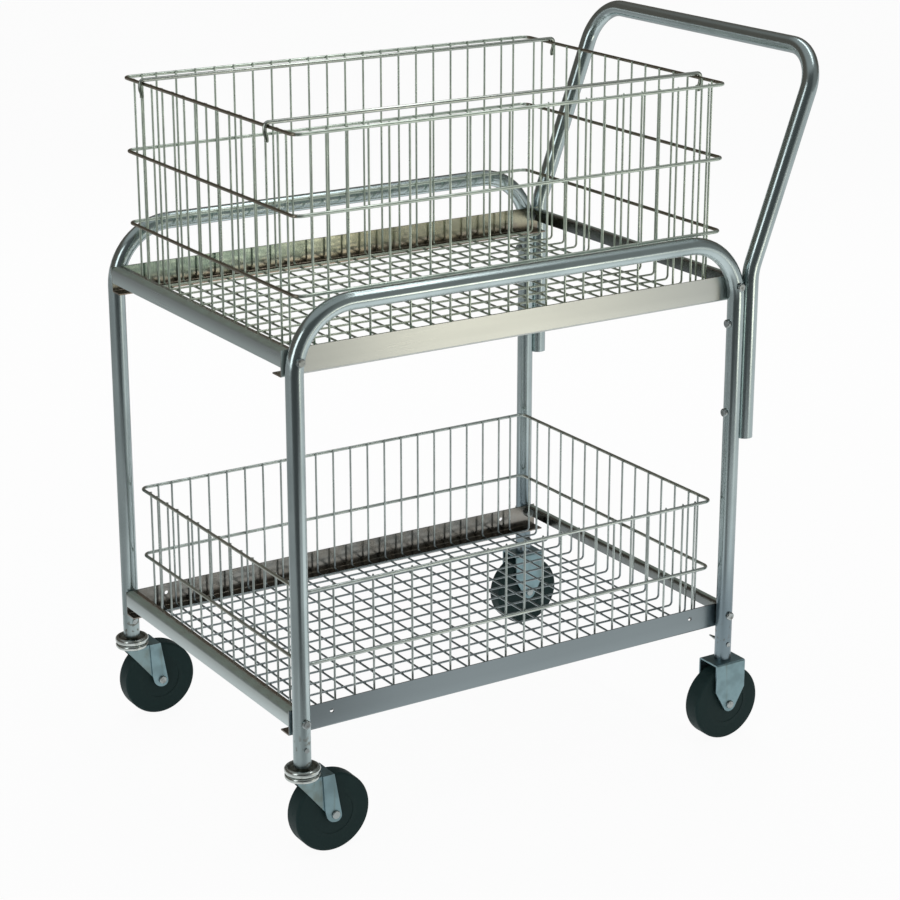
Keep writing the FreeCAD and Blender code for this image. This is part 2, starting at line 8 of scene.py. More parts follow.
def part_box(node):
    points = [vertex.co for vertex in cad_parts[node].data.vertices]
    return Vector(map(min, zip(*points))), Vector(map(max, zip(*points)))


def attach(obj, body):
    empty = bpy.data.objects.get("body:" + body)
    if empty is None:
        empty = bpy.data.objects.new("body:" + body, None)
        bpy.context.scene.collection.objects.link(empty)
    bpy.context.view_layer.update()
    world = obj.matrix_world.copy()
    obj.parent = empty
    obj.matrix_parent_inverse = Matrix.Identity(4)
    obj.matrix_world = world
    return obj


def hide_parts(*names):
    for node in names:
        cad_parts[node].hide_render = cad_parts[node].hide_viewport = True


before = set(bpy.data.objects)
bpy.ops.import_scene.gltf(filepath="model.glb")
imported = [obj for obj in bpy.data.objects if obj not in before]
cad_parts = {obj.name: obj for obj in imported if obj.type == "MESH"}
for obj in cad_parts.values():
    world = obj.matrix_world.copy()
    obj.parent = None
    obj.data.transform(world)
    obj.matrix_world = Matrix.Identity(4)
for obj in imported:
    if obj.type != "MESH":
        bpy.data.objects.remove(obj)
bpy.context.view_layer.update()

# Side arches and push handle: 25 mm steel tube, each piece bent from one length and bright zinc plated.
# The plating is smooth with faint drawing lines along the tube, cloudy grey patches where hands and
# cloths have dulled it, rougher feet whose colour is darkened with painted shade, most of all behind,
# and a few rusty freckles low on the legs.


class Shade:
    """One output of a finish's nodes; sums of these make more nodes."""

    def __init__(self, tree, socket):
        self.tree = tree
        self.socket = socket

    def node(self, kind, settings, sockets, output=0):
        """Another node of the same finish: its settings come first, then its sockets."""
        made = self.tree.nodes.new(kind)
        for name, value in settings.items():
            setattr(made, name, value)
        for name, value in sockets.items():
            if isinstance(value, Shade):
                self.tree.links.new(value.socket, made.inputs[name])
            else:
                made.inputs[name].default_value = value
        return Shade(self.tree, made.outputs[output])

    def maths(self, operation, first, second):
        return self.node("ShaderNodeMath", {"operation": operation}, {0: first, 1: second})

    def __add__(self, other):
        return self.maths("ADD", self, other)

    def __radd__(self, other):
        return self.maths("ADD", other, self)

    def __sub__(self, other):
        return self.maths("SUBTRACT", self, other)

    def __rsub__(self, other):
        return self.maths("SUBTRACT", other, self)

    def __mul__(self, other):
        return self.maths("MULTIPLY", self, other)

    def __rmul__(self, other):
        return self.maths("MULTIPLY", other, self)


def start_finish(name):
    """A new material and the place on the piece, from which its other nodes are made."""
    material = bpy.data.materials.new(name)
    material.use_nodes = True
    tree = material.node_tree
    place = Shade(tree, None).node("ShaderNodeTexCoord", {}, {}, "Object")
    return material, place


def clouds(place, size, stretch=(1.0, 1.0, 1.0), detail=3.0):
    """Soft patches about size metres across, drawn out along the axes with a small stretch."""
    laid = place.node("ShaderNodeMapping", {}, {"Vector": place, "Scale": stretch})
    return place.node("ShaderNodeTexNoise", {}, {"Vector": laid, "Scale": 1.0 / size, "Detail": detail})


def between(value, low, high):
    """0 below low, 1 above high, and a smooth slope between them."""
    return value.node(
        "ShaderNodeMapRange",
        {"interpolation_type": "SMOOTHSTEP"},
        {"Value": value, "From Min": low, "From Max": high},
    )


def tint(amount, plain, inner_share):
    """The plain colour where amount is 0 and the stained one where it is 1."""
    plain = plain if isinstance(plain, Shade) else (*plain, 1.0)
    inner_share = inner_share if isinstance(inner_share, Shade) else (*inner_share, 1.0)
    return amount.node(
        "ShaderNodeMix", {"data_type": "RGBA"}, {0: amount, 6: plain, 7: inner_share}, 2
    )


def part_of(place, axis):
    """The distance along one axis, in metres."""
    return place.node("ShaderNodeSeparateXYZ", {}, {"Vector": place}, axis)


def dress(material, place, colour, roughness, relief, depth, **others):
    """Lays colour, roughness and relief on a material; others are plain numbers or nodes."""
    surface = place.tree.nodes["Principled BSDF"]
    bump = place.node("ShaderNodeBump", {}, {"Height": relief, "Distance": depth, "Strength": 1.0})
    for name, value in (("Base Color", colour), ("Roughness", roughness), ("Normal", bump)):
        place.tree.links.new(value.socket, surface.inputs[name])
    for name, value in others.items():
        socket = surface.inputs[name.replace("_", " ").title().replace("Ior", "IOR")]
        if isinstance(value, Shade):
            place.tree.links.new(value.socket, socket)
        else:
            socket.default_value = value
    return material


def cover(material, *names):
    """Gives CAD nodes their finish in place of the plain one."""
    for name in names:
        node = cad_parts[name]
        node.data.materials.clear()
        node.data.materials.append(material)


drawn_upright = (1.0, 1.0, 0.02)
drawn_level = (0.02, 0.6, 1.0)
top_bends = (0.70, 0.76)
freckled_below = (0.165, 0.20)
dull_and_shaded_below = (0.16, 0.30)
rear_shaded_below = (0.20, 0.40)
rear_legs = (0.30, 0.33)
tube_finish, place = start_finish("bright_zinc_tube")
height = part_of(place, "Z")
upright = 1.0 - between(height, *top_bends)
draw_lines = clouds(place, 0.004, drawn_upright) * upright
draw_lines = draw_lines + clouds(place, 0.004, drawn_level) * (1.0 - upright)
dulled = between(clouds(place, 0.09), 0.38, 0.72)
freckles = between(clouds(place, 0.0075, detail=1.5), 0.60, 0.66)
freckles = freckles * between(clouds(place, 0.05), 0.40, 0.54) * (1.0 - between(height, *freckled_below))
colour = tint(dulled, (0.51, 0.605, 0.61), (0.43, 0.515, 0.52))
# Painted shade: the feet are darkened, the rear legs' most of all; the feet are also rougher.
dull_and_shaded_feet = 1.0 - between(height, *dull_and_shaded_below)
rear_shaded_feet = between(part_of(place, "X"), *rear_legs) * (1.0 - between(height, *rear_shaded_below))
colour = tint(dull_and_shaded_feet * 0.9, colour, (0.32, 0.395, 0.40))
colour = tint(rear_shaded_feet * 0.9, colour, (0.18, 0.235, 0.265))
colour = tint(freckles * 0.5, colour, (0.17, 0.12, 0.07))
roughness = 0.17 + dulled * 0.07 + draw_lines * 0.04 + freckles * 0.3 + dull_and_shaded_feet * 0.10
relief = draw_lines * 0.5 + freckles
dress(tube_finish, place, colour, roughness, relief, 0.000006, metallic=1.0)
cover(tube_finish, "left_arch", "right_arch", "push_handle")

# Shelf rails: steel strip folded into angles, eight to a cart, then zinc plated. The long ones carry
# the basket on a flange that is turned in; the end ones have a rounded top edge. Rolling leaves a fine
# grain along each rail, and the plating is brushed to a soft shine; dust lies on the rounded edges.


def size_of(value):
    """The same distance without its sign."""
    return value.node("ShaderNodeMath", {"operation": "ABSOLUTE"}, {0: value})


def rail_finish(
    name, plain, painted_lit_foot, stretch, across, inner_face, foot, inner_share, front_stain_and_shade, rear_stain_and_shade, brown, dusty_top
):
    """Brushed zinc, painted lighter at the foot if asked; inner faces get stain and painted shade, another
    tint low down.
    """
    material, place = start_finish(name)
    grain = clouds(place, 0.0016, stretch, 2.0)
    bands = clouds(place, 0.012, stretch, 2.0)
    handled = clouds(place, 0.22, detail=1.0)
    colour = tint(handled * 0.6 + bands * 0.4, plain, [0.86 * part for part in plain])
    height = part_of(place, "Z")
    # Painted light: where a lighter foot colour is given, the face is painted lighter towards the foot.
    colour = tint(1.0 - between(height, foot + 0.001, foot + 0.022), colour, painted_lit_foot)
    depth = size_of(part_of(place, across))
    inside = 1.0 - between(depth, inner_face, inner_face + 0.0012)
    patches = between(clouds(place, 0.02, detail=4.0), 0.35, 0.68)
    low = 1.0 - between(height + patches * 0.008, foot + 0.004, foot + 0.030)
    # The inner colour is tan stain on the long rails and painted shade on the end rails.
    stain_and_shade = tint(between(part_of(place, "X"), -0.18, 0.10), front_stain_and_shade, rear_stain_and_shade)
    stain_and_shade = tint(low, stain_and_shade, brown)
    colour = tint(inside * (inner_share + patches * (0.9 - inner_share) * 0.6), colour, stain_and_shade)
    dust = between(height, dusty_top - 0.0055, dusty_top - 0.0015)
    dust = dust * between(depth, inner_face - 0.012, inner_face - 0.007) * (0.8 + patches * 0.2)
    colour = tint(dust, colour, (0.225, 0.28, 0.24))
    roughness = 0.24 + grain * 0.05 + handled * 0.05 - inside * (0.12 - patches * 0.10) + dust * 0.2
    relief = grain + bands * 0.5
    return dress(material, place, colour, roughness, relief, 0.000015, metallic=1.0 - dust * 0.7)


rail_thickness = 0.002
along_long = (0.012, 1.0, 1.0)
along_end = (1.0, 0.012, 1.0)
no_dust = 9.0
# The long rails' inner faces turn darker brown towards the foot.
long_darker_foot = (0.19, 0.135, 0.085)
# The end rails' inner faces are painted shade: darkest on the rear rail, brown-grey on the front one.
end_inner_shade = 0.92
front_end_shade = (0.34, 0.30, 0.25)
rear_end_shadow = (0.11, 0.115, 0.10)
end_inner_foot_shade = (0.145, 0.16, 0.16)
# The last colour of each shelf is the end rails' lower face, painted lighter where light falls on it.
shelf_colours = (
    (
        "upper", 0.75, (0.335, 0.455, 0.375), (0.53, 0.52, 0.36), (0.52, 0.555, 0.535),
        (0.36, 0.405, 0.40), (0.62, 0.72, 0.71),
    ),
    (
        "lower", 0.55, (0.31, 0.28, 0.235), (0.31, 0.28, 0.235), (0.245, 0.29, 0.305),
        (0.37, 0.425, 0.41), (0.52, 0.60, 0.60),
    ),
)
for shelf, inner_share, left_stain, long_stain, long_plain, end_plain, end_painted_lit_foot in shelf_colours:
    low_corner, high_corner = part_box(f"{shelf}_right_rail")
    long_finish = rail_finish(
        f"{shelf}_long_rail_zinc", plain=long_plain, painted_lit_foot=long_plain, stretch=along_long, across="Y",
        inner_face=high_corner.y - rail_thickness, foot=low_corner.z, inner_share=inner_share,
        front_stain_and_shade=left_stain, rear_stain_and_shade=long_stain, brown=long_darker_foot, dusty_top=no_dust,
    )
    cover(long_finish, f"{shelf}_left_rail", f"{shelf}_right_rail")
    low_corner, high_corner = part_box(f"{shelf}_rear_rail")
    end_finish = rail_finish(
        f"{shelf}_end_rail_zinc", plain=end_plain, painted_lit_foot=end_painted_lit_foot, stretch=along_end, across="X",
        inner_face=high_corner.x - rail_thickness, foot=low_corner.z, inner_share=end_inner_shade,
        front_stain_and_shade=front_end_shade, rear_stain_and_shade=rear_end_shadow, brown=end_inner_foot_shade, dusty_top=high_corner.z,
    )
    cover(end_finish, f"{shelf}_front_rail", f"{shelf}_rear_rail")

# Bolts, nuts, rivets and lock pins: bought-in steel fasteners, zinc plated by the barrel, so a little
# duller and greyer than the frame, with fine marks from the barrel and dark patches of dirt.

fastener_finish, place = start_finish("barrel_plated_fastener")
tumble = clouds(place, 0.0012, detail=2.0)
grime = between(clouds(place, 0.006), 0.50, 0.75)
colour = tint(grime, (0.37, 0.41, 0.41), (0.20, 0.205, 0.19))
dress(fastener_finish, place, colour, 0.24 + grime * 0.2 + tumble * 0.08, tumble, 0.00003, metallic=1.0)
cover(
    fastener_finish, "shelf_bolts", "shelf_nuts", "handle_bolts", "handle_nuts",
    "stem_rivets", "rear_lock_pins", "rear_axle_nuts", "front_left_axle_nut", "front_right_axle_nut",
)

# Baskets: straight and bent steel wires, spot welded where they cross and where they meet the rings,
# then plated whole. The plating has a faint greenish tone and each weld shows as a small dull lump.

upper_floor = (0.712, 0.730)
lower_floor = (0.190, 0.215)
under_upper_shelf = (0.60, 0.65)


def wire_finish(name, plain, end_stain, dark_beyond):
    """Greenish plating, brown where rings pass beyond the end walls, floors darkened by dirt and painted
    shade.
    """
    material, place = start_finish(name)
    patches = between(clouds(place, 0.03), 0.36, 0.70)
    pull_lines = clouds(place, 0.003)
    height = part_of(place, "Z")
    high_floor = 1.0 - between(height, *upper_floor)
    lower_floor_shade = 1.0 - between(height, *lower_floor)
    low_walls = 1.0 - between(height, *under_upper_shelf)
    ends = between(size_of(part_of(place, "X")), dark_beyond - 0.002, dark_beyond)
    colour = tint(patches, plain, [0.83 * part for part in plain])
    # Dirt and painted shade darken the upper shelf's floor wires.
    colour = tint((high_floor - low_walls) * 0.75, colour, (0.30, 0.33, 0.265))
    # Painted shade: the lower shelf's floor wires, under the upper shelf, are darker and cooler.
    colour = tint(lower_floor_shade * 0.8, colour, (0.22, 0.26, 0.28))
    colour = tint(ends * 0.95, colour, end_stain)
    roughness = 0.25 + patches * 0.08 + pull_lines * 0.05
    return dress(material, place, colour, roughness, pull_lines, 0.00001, metallic=1.0)


def weld_finish(name):
    """Dull grey lumps with a brown edge, where the plating took badly on the burnt steel."""
    material, place = start_finish(name)
    burnt = between(clouds(place, 0.004), 0.42, 0.66)
    colour = tint(burnt, (0.33, 0.36, 0.32), (0.17, 0.15, 0.115))
    return dress(material, place, colour, 0.34 + burnt * 0.2, burnt, 0.0001, metallic=1.0)


def finished(name, shape, materials, body, crease=0.6):
    """Makes a piece of a finished shape, gives it its finish and lets it ride on its body."""
    mesh = bpy.data.meshes.new(name)
    bmesh.ops.recalc_face_normals(shape, faces=shape.faces)
    shape.to_mesh(mesh)
    shape.free()
    mesh.shade_smooth()
    mesh.set_sharp_from_angle(angle=crease)
    for material in materials if isinstance(materials, tuple) else (materials,):
        mesh.materials.append(material)
    piece = bpy.data.objects.new(name, mesh)
    bpy.context.collection.objects.link(piece)
    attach(piece, body)
    return piece


def weld(shape, middle, size):
    """One rounded lump of weld."""
    lump = Matrix.Translation(middle) @ Matrix.Diagonal((*size, 1.0))
    bmesh.ops.create_icosphere(shape, subdivisions=1, radius=1.0, matrix=lump)


def row_of(first, last, end_gap, count):
    """Places of the wires across a basket: evenly spaced, with one more beyond each end."""
    inner = last - end_gap
    pitch = (inner - first - end_gap) / (count - 1)
    return [first] + [first + end_gap + pitch * step for step in range(count)] + [last]


ring_wire = 0.005
wall_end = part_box("upper_basket_top_rim")[1].x - ring_wire
beyond_the_cart = 1.0
basket_colours = (
    (
        "upper", ("top_rim", "middle_ring", "low_ring"),
        (0.63, 0.72, 0.635), (0.70, 0.81, 0.70), (0.26, 0.23, 0.18),
    ),
    (
        "lower", ("top_rim", "middle_ring"),
        (0.54, 0.61, 0.585), (0.54, 0.61, 0.585), (0.50, 0.53, 0.47),
    ),
)
lump_finish = weld_finish("basket_spot_weld")
end_wire_gap = 0.023
cross_wire_count = 20
long_wire_count = 13
wire_radius = 0.0016
floor_weld = (0.0021, 0.0021, 0.0013)
side_weld = (0.0021, 0.0012, 0.0026)
end_weld = (0.0012, 0.0021, 0.0026)
wire_tip = (0.00155, 0.00155, 0.0022)
tip_drop = 0.0009
for basket, rings, ring_plain, grid_plain, end_stain in basket_colours:
    ring_finish = wire_finish(f"{basket}_basket_ring_wire", ring_plain, end_stain, wall_end)
    grid_finish = wire_finish(f"{basket}_basket_grid_wire", grid_plain, end_stain, beyond_the_cart)
    cover(ring_finish, *(f"{basket}_basket_{ring}" for ring in rings))
    cover(grid_finish, f"{basket}_basket_cross_wires", f"{basket}_basket_long_wires")
    cross_low, cross_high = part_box(f"{basket}_basket_cross_wires")
    long_low, long_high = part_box(f"{basket}_basket_long_wires")
    rim_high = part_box(f"{basket}_basket_top_rim")[1]
    cross_places = row_of(
        cross_low.x + wire_radius, cross_high.x - wire_radius, end_wire_gap, cross_wire_count
    )
    long_places = row_of(
        long_low.y + wire_radius, long_high.y - wire_radius, end_wire_gap, long_wire_count
    )
    floor_between = (cross_low.z + long_low.z) / 2.0 + wire_radius
    shape = bmesh.new()
    for x in cross_places:
        for y in long_places:
            weld(shape, (x, y, floor_between), floor_weld)
    for ring in rings:
        low_side, high_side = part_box(f"{basket}_basket_{ring}")
        level = (low_side.z + high_side.z) / 2.0
        for side in (-1.0, 1.0):
            for x in cross_places:
                weld(shape, (x, side * cross_high.y, level), side_weld)
            for y in long_places:
                weld(shape, (side * long_high.x, y, level), end_weld)
    finished(f"{basket}_basket_welds", shape, lump_finish, f"{basket}_basket")
    shape = bmesh.new()
    for side in (-1.0, 1.0):
        for x in cross_places:
            weld(shape, (x, side * (cross_high.y - wire_radius), rim_high.z - tip_drop), wire_tip)
    finished(f"{basket}_basket_wire_tips", shape, grid_finish, f"{basket}_basket")

# File rods: plain round rods with hooked ends that hang over the end rims of the upper basket and
# carry hanging folders; they are plated like the wires and polished by the folders' hooks.

shaded_tails_below = (1.016, 1.024)
rod_finish, place = start_finish("polished_file_rod")
rubbed = between(clouds(place, 0.02, (0.2, 1.0, 1.0)), 0.35, 0.70)
scratches = clouds(place, 0.0015, (1.0, 0.05, 1.0), 2.0)
# Painted shade: the hooked tails below the end rims are darker.
shaded_tails = 1.0 - between(part_of(place, "Z"), *shaded_tails_below)
colour = tint(rubbed, (0.47, 0.525, 0.47), (0.56, 0.60, 0.56))
colour = tint(shaded_tails * 0.85, colour, (0.27, 0.31, 0.25))
dress(rod_finish, place, colour, 0.24 - rubbed * 0.08 + scratches * 0.06, scratches, 0.00003, metallic=1.0)
cover(rod_finish, "left_file_rod", "right_file_rod")


def end_ring(made):
    """The open ring that a bend has just ended in."""
    return [part for part in made if not isinstance(part, bmesh.types.BMFace)]


def run_on(shape, ring, along):
    """Lengthens a rod straight on from its open ring."""
    edges = [part for part in ring if isinstance(part, bmesh.types.BMEdge)]
    made = bmesh.ops.extrude_edge_only(shape, edges=edges)["geom"]
    dots = {part for part in made if isinstance(part, bmesh.types.BMVert)}
    bmesh.ops.translate(shape, vec=along, verts=list(dots))
    return list(dots) + [edge for edge in shape.edges if dots.issuperset(edge.verts)]


def bend_on(shape, ring, middle, angle):
    """Bends a rod on from its open ring, in the upright plane along the cart."""
    made = bmesh.ops.spin(
        shape, geom=ring, cent=middle, axis=(0.0, 1.0, 0.0), angle=math.radians(angle), steps=8
    )
    return end_ring(made["geom_last"])


rod_radius = 0.003
shoulder_radius = 0.006
tail_radius = 0.014
tail_drop = 0.005
tail_lean = 24.0
tail_kick = -40.0
tip_round = 0.0012
for side in ("left", "right"):
    low_corner, high_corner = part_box(f"{side}_file_rod")
    height = high_corner.z - rod_radius
    across = (low_corner.y + high_corner.y) / 2.0
    tail_at = high_corner.x - rod_radius
    shape = bmesh.new()
    laid = Matrix.Translation((0.0, across, height)) @ Matrix.Rotation(math.pi / 2.0, 4, "Y")
    bmesh.ops.create_circle(shape, segments=16, radius=rod_radius, matrix=laid)
    ring = list(shape.verts) + list(shape.edges)
    ring = run_on(shape, ring, (tail_at - shoulder_radius, 0.0, 0.0))
    ring = bend_on(shape, ring, (tail_at - shoulder_radius, across, height - shoulder_radius), 90.0)
    ring = run_on(shape, ring, (0.0, 0.0, -tail_drop))
    hub = Vector((tail_at - tail_radius, across, height - shoulder_radius - tail_drop))
    ring = bend_on(shape, ring, hub, tail_lean)
    lean = math.radians(tail_lean)
    outward = Vector((math.cos(lean), 0.0, -math.sin(lean)))
    ring = bend_on(shape, ring, hub + outward * (2.0 * tail_radius), tail_kick)
    dots = [part for part in ring if isinstance(part, bmesh.types.BMVert)]
    middle = sum((dot.co for dot in dots), Vector()) / len(dots)
    tip = shape.faces.new(sorted(dots, key=lambda dot: math.atan2(dot.co.y - across, dot.co.x - middle.x)))
    bmesh.ops.bevel(
        shape, geom=list(tip.edges), offset=tip_round, affect="EDGES", segments=3, profile=0.5, material=-1
    )
    bmesh.ops.mirror(
        shape, geom=list(shape.verts) + list(shape.edges) + list(shape.faces), axis="X", merge_dist=0.00001
    )
    rod = finished(f"{side}_hooked_rod", shape, rod_finish, f"{side}_file_rod")
    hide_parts(f"{side}_file_rod")

# Caster forks: pressed sheet steel, zinc plated dull grey, with brown water stains that run down the
# plates. The front pair turn on a ball race under the leg; the rear pair are fixed.

leg_x = 0.372
flared_before = (0.019, 0.022)
flared_below = (0.114, 0.119)
fork_finish, place = start_finish("dull_zinc_fork")
mottle = between(clouds(place, 0.018), 0.35, 0.68)
runs = between(clouds(place, 0.010, (1.0, 1.0, 0.12)), 0.55, 0.78)
press_grain = clouds(place, 0.0015, detail=2.0)
colour = tint(mottle, (0.225, 0.335, 0.365), (0.20, 0.295, 0.32))
behind_pin = part_of(place, "X") + leg_x
flare = 1.0 - between(behind_pin, *flared_before)
flare = flare * (1.0 - between(part_of(place, "Z"), *flared_below))
colour = tint(runs * 0.35 + flare * (0.25 + mottle * 0.2), colour, (0.19, 0.205, 0.155))
roughness = 0.42 + mottle * 0.10 + runs * 0.10
dress(fork_finish, place, colour, roughness, press_grain + mottle, 0.00005, metallic=1.0)
corners = ("front_left", "front_right", "rear_left", "rear_right")
cover(fork_finish, *(f"{corner}_fork" for corner in corners))

# Swivel forks: one blank is drawn into a round crown with a rolled rim, then its two legs are folded
# down; in front of a pressed step each leg flares out to meet the crown. The crown is rubbed as bright
# as the bearing steel above it, with painted shade in its dish.

leg_y = 0.278
shaded_dish_inside = 0.019
shaded_dish_edge = 0.0225
race_finish, place = start_finish("bright_bearing_steel")
greasy = between(clouds(place, 0.010), 0.52, 0.78)
turned = clouds(place, 0.0010, (1.0, 1.0, 4.0), 2.0)
from_pin = part_of(place, "X") + leg_x
across_pin = size_of(part_of(place, "Y")) - leg_y
# Painted shade: the race's dish round each front leg's foot, and all inside it, is darkened.
shaded_dish = 1.0 - between(from_pin * from_pin + across_pin * across_pin, shaded_dish_inside**2, shaded_dish_edge**2)
colour = tint(greasy * 0.7, (0.52, 0.565, 0.545), (0.27, 0.285, 0.25))
colour = tint(shaded_dish * 0.85, colour, (0.13, 0.14, 0.115))
dress(race_finish, place, colour, 0.20 + greasy * 0.12 + shaded_dish * 0.15, turned, 0.000004, metallic=1.0)
crown_radius = 0.0258
crown_reach = 0.0255
crown_floor = 0.1222
crown_under = 0.1200
crown_rim = 0.1263
crown_round = 0.0036
rim_foot = 0.1182
rim_wall = 0.0040
pin_bore = 0.0056
leg_outside = 0.0219
leg_plate = 0.0025
leg_foot = 0.0475
leg_heel_top = 0.0390
leg_heel_foot = 0.0515
leg_toe_foot = 0.0285
eye_round = 0.0112
crease_head = 0.0205
crease_toe = 0.0235
crease_low = 0.067
crease_step = 0.0018
flare_radius = 0.0236
flare_from = 222.0
flare_turn = 78.0
flare_steps = 12
flare_lap = 0.001
flare_foot = (-0.0186, 0.0166, 0.1190)
flare_run = (0.0421, 0.0035, -0.0520)
flare_bow = (-0.0045, 0.0065)
beak_length = 0.039
close_by = 0.0001
fork_crease = 0.24


def drawn(shape, points):
    """A flat outline of the given corners."""
    corners = [shape.verts.new(point) for point in points]
    return corners, [shape.edges.new(pair) for pair in zip(corners, corners[1:])]


def turned_round(shape, pin, dots, lines):
    """Spins an outline right round the pin."""
    bmesh.ops.spin(
        shape, geom=dots + lines, cent=pin, axis=(0.0, 0.0, 1.0), angle=2.0 * math.pi, steps=64,
        use_merge=True,
    )


def roll_rims(shape, pin, radius, levels, roundness):
    """Rounds the edges that run round a spun piece at its full radius and the given heights."""
    rims = [
        edge for edge in shape.edges
        if all((dot.co.xy - pin.xy).length > radius - close_by for dot in edge.verts)
        and any(all(abs(dot.co.z - level) < close_by for dot in edge.verts) for level in levels)
    ]
    bmesh.ops.bevel(
        shape, geom=rims, offset=roundness, affect="EDGES", segments=8, profile=0.5, material=-1
    )


def thickened(shape, faces, across):
    """Gives a folded sheet its thickness along across."""
    pushed = bmesh.ops.extrude_face_region(shape, geom=faces, use_keep_orig=True)["geom"]
    dots = [part for part in pushed if isinstance(part, bmesh.types.BMVert)]
    bmesh.ops.translate(shape, vec=across, verts=dots)


for corner in ("front_left", "front_right"):
    low_corner, high_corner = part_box(f"{corner}_fork")
    pin = Vector((low_corner.x + crown_reach, (low_corner.y + high_corner.y) / 2.0, 0.0))
    shape = bmesh.new()
    rim_inside = crown_radius - rim_wall
    section = (
        (pin_bore, crown_under), (rim_inside, crown_under), (rim_inside, rim_foot),
        (crown_radius, rim_foot), (crown_radius, crown_rim),
        (rim_inside, crown_rim), (rim_inside, crown_floor), (pin_bore, crown_floor),
    )
    dots, lines = drawn(shape, [pin + Vector((across, 0.0, up)) for across, up in section])
    lines.append(shape.edges.new((dots[-1], dots[0])))
    turned_round(shape, pin, dots, lines)
    roll_rims(shape, pin, crown_radius, (rim_foot, crown_rim), crown_round)
    for face in shape.faces:
        face.material_index = 1
    for side in (-1.0, 1.0):
        outer = side * leg_outside
        inward = Vector((0.0, -side * leg_plate, 0.0))
        crease_top = pin + Vector((crease_head, outer, crown_floor))
        crease_foot = pin + Vector((crease_toe, outer, crease_low))
        panel = [
            shape.verts.new(point) for point in (
                crease_top,
                pin + Vector((leg_heel_top, outer, crown_floor)),
                pin + Vector((leg_heel_foot, outer, leg_foot)),
                pin + Vector((leg_toe_foot, outer, leg_foot)),
                crease_foot,
            )
        ]
        shape.faces.new(panel)
        bmesh.ops.bevel(
            shape, geom=panel[2:4], offset=eye_round, affect="VERTICES", segments=8, profile=0.5,
            material=-1,
        )
        thickened(shape, list(panel[0].link_faces), inward)
        upper = []
        lower = []
        for step in range(flare_steps + 1):
            share = step / flare_steps
            angle = math.radians(flare_from + flare_turn * share)
            upper.append(pin + Vector((
                flare_radius * math.cos(angle),
                -side * flare_radius * math.sin(angle),
                crown_under + flare_lap,
            )))
            bow = 2.0 * share * (1.0 - share)
            lower.append(pin + Vector((
                flare_foot[0] + flare_run[0] * share + flare_bow[0] * bow,
                side * (flare_foot[1] + flare_run[1] * share**3),
                flare_foot[2] + flare_run[2] * share + flare_bow[1] * bow,
            )))
        stepped_in = Vector((0.0, -side * crease_step, 0.0))
        upper.append(crease_top + stepped_in)
        lower.append(crease_foot + stepped_in)
        upper_lines = drawn(shape, upper)[1]
        lower_lines = drawn(shape, lower)[1]
        sheet = bmesh.ops.bridge_loops(shape, edges=upper_lines + lower_lines)["faces"]
        thickened(shape, sheet, inward)
    beak = bmesh.ops.create_cube(shape, size=1.0)["verts"]
    beak_size = (beak_length, 2.0 * (leg_outside - leg_plate), crown_floor - crown_under)
    beak_middle = Vector((beak_length / 2.0, 0.0, (crown_floor + crown_under) / 2.0))
    bmesh.ops.scale(shape, vec=beak_size, verts=beak)
    bmesh.ops.translate(shape, vec=pin + beak_middle, verts=beak)
    finishes = (fork_finish, race_finish)
    fork = finished(
        f"{corner}_pressed_fork", shape, finishes, f"{corner}_swivel", fork_crease
    )
    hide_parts(f"{corner}_fork")

# Stems, races and balls: turned and pressed bearing steel, brighter than the forks, with patches of old
# grease, and painted shade in the dish round each front pin. The race of each front stem is rolled
# into a thick round rim, and its dished top holds the foot of the leg.

cover(race_finish, *(f"{corner}_stem" for corner in corners))
cover(race_finish, "front_left_bearing_balls", "front_right_bearing_balls")

race_radius = 0.0260
race_foot = 0.1269
race_top = 0.1362
race_foot_round = 0.0030
race_top_round = 0.0042
race_under = 0.1284
race_hollow = 0.0209
race_dish = ((0.0212, race_top), (0.0190, 0.1326), (0.0140, 0.1309))
collar_radius = 0.0085
collar_foot = 0.1306
collar_top = 0.1364
shank_radius = 0.0055
rivet_top = 0.1199
race_crease = 0.3
for corner in ("front_left", "front_right"):
    low_corner, high_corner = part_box(f"{corner}_stem")
    pin = Vector(((low_corner.x + high_corner.x) / 2.0, (low_corner.y + high_corner.y) / 2.0, 0.0))
    section = (
        (collar_radius, low_corner.z), (collar_radius, rivet_top), (shank_radius, rivet_top),
        (shank_radius, race_under), (race_hollow, race_under), (race_hollow, race_foot),
        (race_radius, race_foot), (race_radius, race_top), *race_dish,
        (collar_radius, collar_foot), (collar_radius, collar_top), (shank_radius, collar_top),
        (shank_radius, high_corner.z),
    )
    shape = bmesh.new()
    dots, lines = drawn(shape, [pin + Vector((across, 0.0, up)) for across, up in section])
    turned_round(shape, pin, dots, lines)
    bmesh.ops.holes_fill(shape, edges=[edge for edge in shape.edges if edge.is_boundary])
    roll_rims(shape, pin, race_radius, (race_foot,), race_foot_round)
    roll_rims(shape, pin, race_radius, (race_top,), race_top_round)
    stem = finished(f"{corner}_rolled_race", shape, race_finish, "frame", race_crease)
    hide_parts(f"{corner}_stem")

# Axles and bushes: each axle is a bolt of bright drawn steel, held by a nut outside the fork, and each
# bush is a steel tube inside the wheel's core. Both are oiled where the wheel turns.

axle_finish, place = start_finish("drawn_axle_steel")
oily = between(clouds(place, 0.008), 0.48, 0.72)
draw_marks = clouds(place, 0.0012, (1.0, 0.08, 1.0), 2.0)
colour = tint(oily, (0.33, 0.37, 0.37), (0.22, 0.235, 0.225))
dress(axle_finish, place, colour, 0.22 + oily * 0.12 + draw_marks * 0.06, draw_marks, 0.00003, metallic=1.0)
for corner in corners:
    cover(axle_finish, f"{corner}_axle", f"{corner}_wheel_bush")

# Stem sleeves: grey nylon tubes pressed up into the four leg ends, which grip the caster stems. They are
# drilled for the rivets of the front legs and the lock pins of the rear ones.

